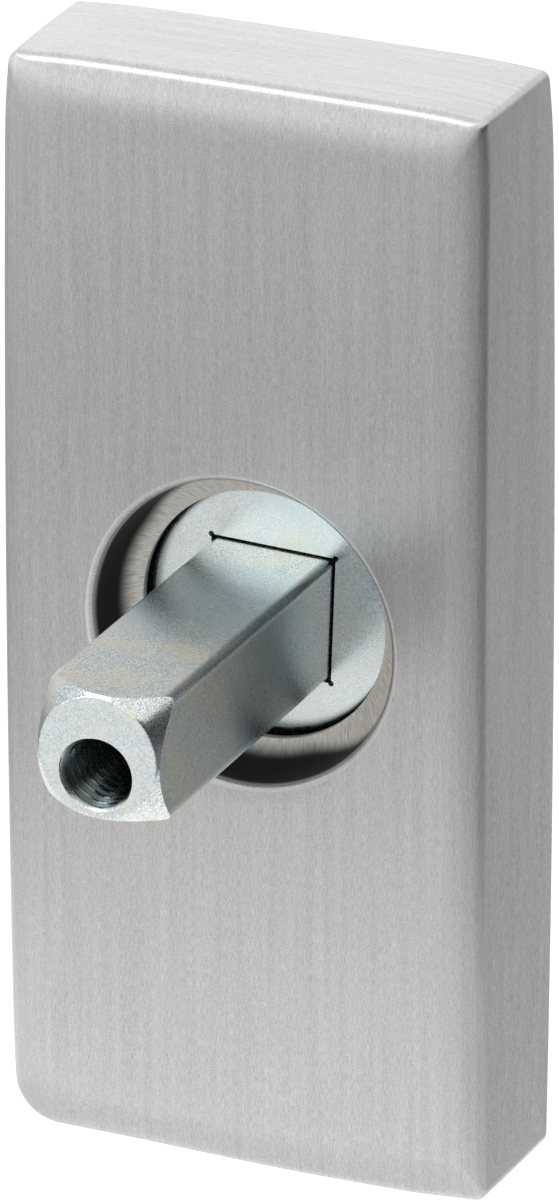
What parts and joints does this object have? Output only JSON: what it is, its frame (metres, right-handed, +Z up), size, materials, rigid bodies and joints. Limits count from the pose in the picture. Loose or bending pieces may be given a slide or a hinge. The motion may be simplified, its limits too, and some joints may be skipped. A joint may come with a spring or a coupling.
{
  "type": "door rose",
  "caption": "Rectangular brushed steel door rose for a narrow stile, with a dished collar round a sprung bush that carries a square lever spindle with a tapped end.",
  "frame": {"origin": "on the spindle's axis, in the plane of the door's face, midway between the two fixing holes", "axes": "+Y along the spindle into the door, +Z up along the rose's length, +X to the right seen from the front"},
  "size_m": [0.032, 0.055, 0.07],
  "materials": {
    "cover_steel": "brushed along the height, satin",
    "base_casting": "die-cast zinc, matt",
    "plated_bush": "zinc plated, bluish, satin",
    "plated_spindle": "zinc plated, bluish, satin",
    "spring_steel": "bright drawn",
    "sleeve_plastic": "moulded, matt",
    "plated_sheet": "zinc plated",
    "blackened_ring": "phosphated and oiled",
    "plated_fasteners": "zinc plated"
  },
  "bodies": {
    "rose": {"cover": "cover_steel", "base_plate": "base_casting", "bearing_sleeve": "sleeve_plastic", "stop_pins": "plated_fasteners", "spring_post": "plated_fasteners", "return_spring": "spring_steel", "spring_keeper": "plated_sheet", "keeper_screws": "plated_fasteners", "upper_cover_clip": "spring_steel", "lower_cover_clip": "spring_steel", "clip_rivets": "plated_fasteners"},
    "turning_bush": {"bush": "plated_bush", "spindle": "plated_spindle", "cross_pin": "spring_steel", "driver_plate": "plated_sheet", "rear_washer": "plated_sheet", "retaining_ring": "blackened_ring"}
  },
  "joints": [
    {"name": "bush_turn", "type": "hinge", "parent": "rose", "child": "turning_bush", "pos_m": [0, 0, 0], "axis": [0, 1, 0], "range_deg": [-45, 45], "stiffness_Nm_per_rad": 0.054, "deforming": ["return_spring"]}
  ]
}
